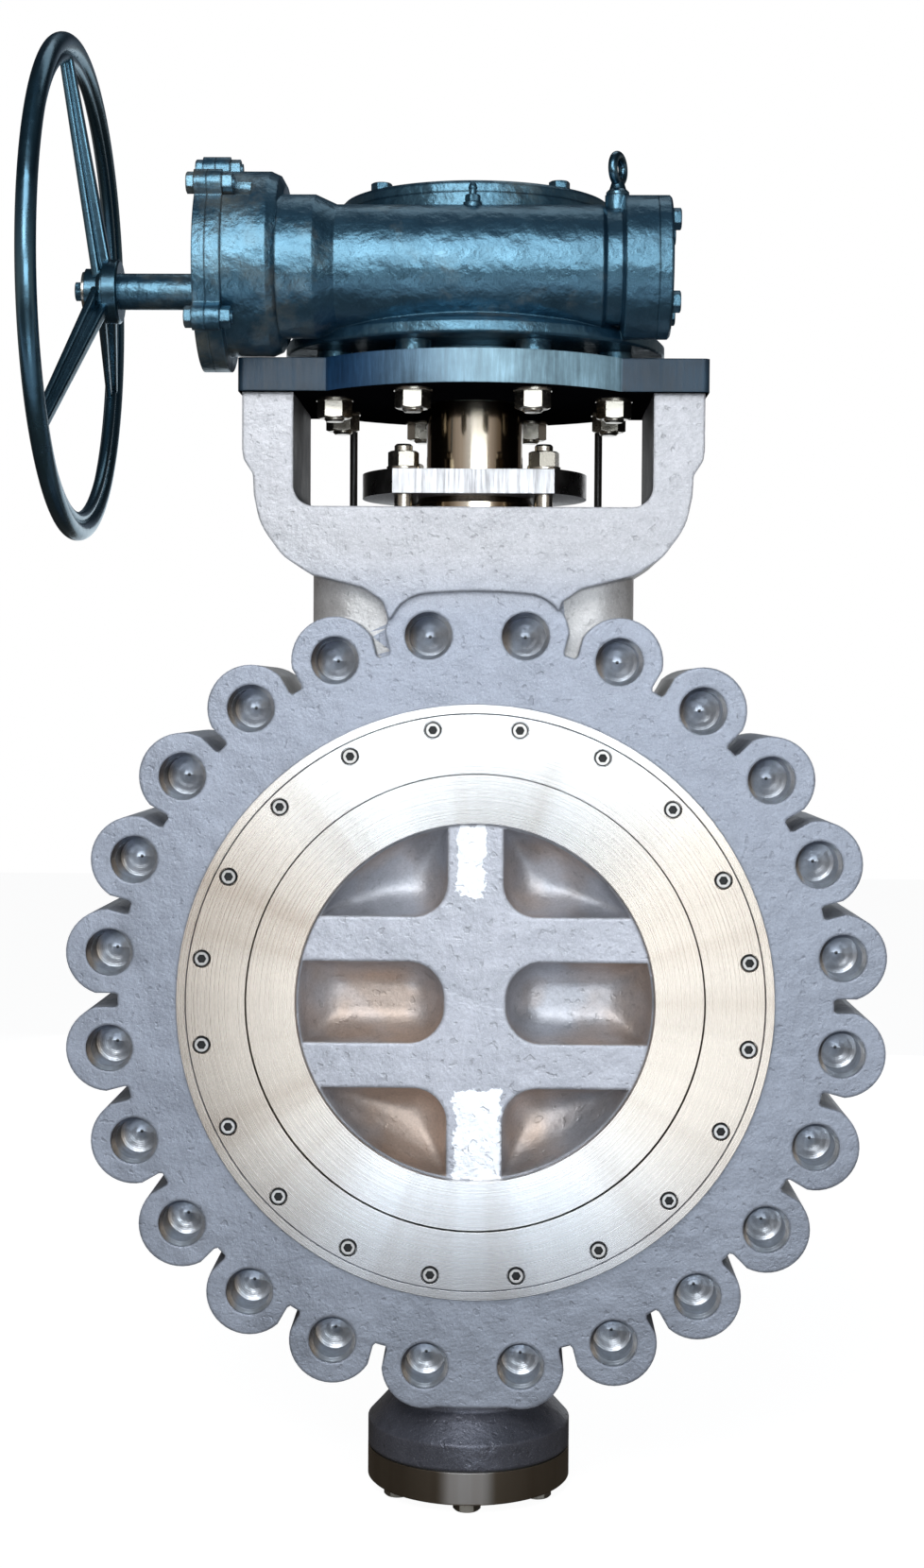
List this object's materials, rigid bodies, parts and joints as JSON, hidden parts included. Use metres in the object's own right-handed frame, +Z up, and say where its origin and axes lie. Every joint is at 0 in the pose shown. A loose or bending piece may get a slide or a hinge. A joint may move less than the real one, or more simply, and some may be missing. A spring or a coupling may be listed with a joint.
{
  "type": "butterfly valve",
  "caption": "Large lugged double offset butterfly valve with yoke, gland, worm gearbox and handwheel that turns the disc.",
  "frame": {"origin": "where the pipe axis meets the front lug face", "axes": "+Y through the valve along the pipe, +Z up the stem to the gearbox, handwheel on the -X side"},
  "size_m": [0.8068, 0.5098, 1.4426],
  "materials": {
    "cast_stainless": "blasted casting, fine grain",
    "machined_stainless": "turned, satin",
    "polished_stem": "ground, polished",
    "screw_steel": "bright zinc or stainless fastener",
    "cover_steel": "turned, dark satin",
    "gear_enamel": "petrol-blue gloss enamel on cast iron",
    "adapter_paint": "blue-grey brushed paint",
    "wheel_enamel": "near-black blue gloss enamel",
    "gear_steel": "cut steel",
    "bronze": "bearing bronze",
    "graphite": "graphite packing",
    "seat_polymer": "filled seat polymer"
  },
  "bodies": {
    "valve_body": {"body_casting": "cast_stainless", "seat_retainer": "machined_stainless", "seat_ring": "seat_polymer", "seat_gasket": "graphite", "retainer_screws": "screw_steel", "upper_stem_bearing": "bronze", "lower_stem_bearing": "bronze", "packing_spacer": "machined_stainless", "packing_rings": "graphite", "gland_follower": "machined_stainless", "gland_flange": "machined_stainless", "gland_studs": "screw_steel", "gland_nuts": "screw_steel", "gland_washers": "screw_steel", "bottom_gasket": "graphite", "bottom_cover": "cover_steel", "bottom_bolts": "screw_steel", "thrust_bearing": "bronze", "adapter_plate": "adapter_paint", "adapter_screws": "screw_steel", "gearbox_studs": "screw_steel", "gearbox_nuts": "screw_steel", "gearbox_washers": "screw_steel", "gearbox_housing": "gear_enamel", "gearbox_top_cover": "gear_enamel", "top_cover_bolts": "gear_enamel", "worm_end_cap": "gear_enamel", "end_cap_bolts": "gear_enamel", "spur_cover": "gear_enamel", "spur_cover_bolts": "gear_enamel", "spur_cover_nuts": "gear_enamel", "input_bearing": "bronze", "pilot_bearing": "bronze", "worm_bearings": "gear_steel", "eye_bolt": "wheel_enamel", "grease_fitting": "gear_enamel", "tie_rods": "adapter_paint"},
    "disc_stem": {"disc": "machined_stainless", "disc_pins": "machined_stainless", "stem": "polished_stem", "stem_key": "gear_steel", "worm_quadrant": "bronze", "position_pointer": "adapter_paint"},
    "worm": {"worm_shaft": "gear_steel", "spur_gear": "gear_steel"},
    "handwheel_input": {"spur_pinion": "gear_steel", "input_shaft": "gear_enamel", "handwheel": "wheel_enamel", "wheel_washer": "screw_steel", "wheel_screw": "gear_enamel"}
  },
  "joints": [
    {"name": "disc_turn", "type": "hinge", "parent": "valve_body", "child": "disc_stem", "pos_m": [-0.005, 0.097, 0], "axis": [0, 0, 1], "range_deg": [0, 90]},
    {"name": "worm_turn", "type": "hinge", "parent": "valve_body", "child": "worm", "pos_m": [0, -0.04, 0.707], "axis": [1, 0, 0], "range_deg": [-3960, 0]},
    {"name": "handwheel_turn", "type": "hinge", "parent": "valve_body", "child": "handwheel_input", "pos_m": [0, 0.01973, 0.69343], "axis": [1, 0, 0], "range_deg": [0, 8167.5]}
  ],
  "couplings": [
    {"joint": "worm_turn", "follows": "disc_turn", "ratio": -44},
    {"joint": "handwheel_turn", "follows": "disc_turn", "ratio": 90.75}
  ]
}
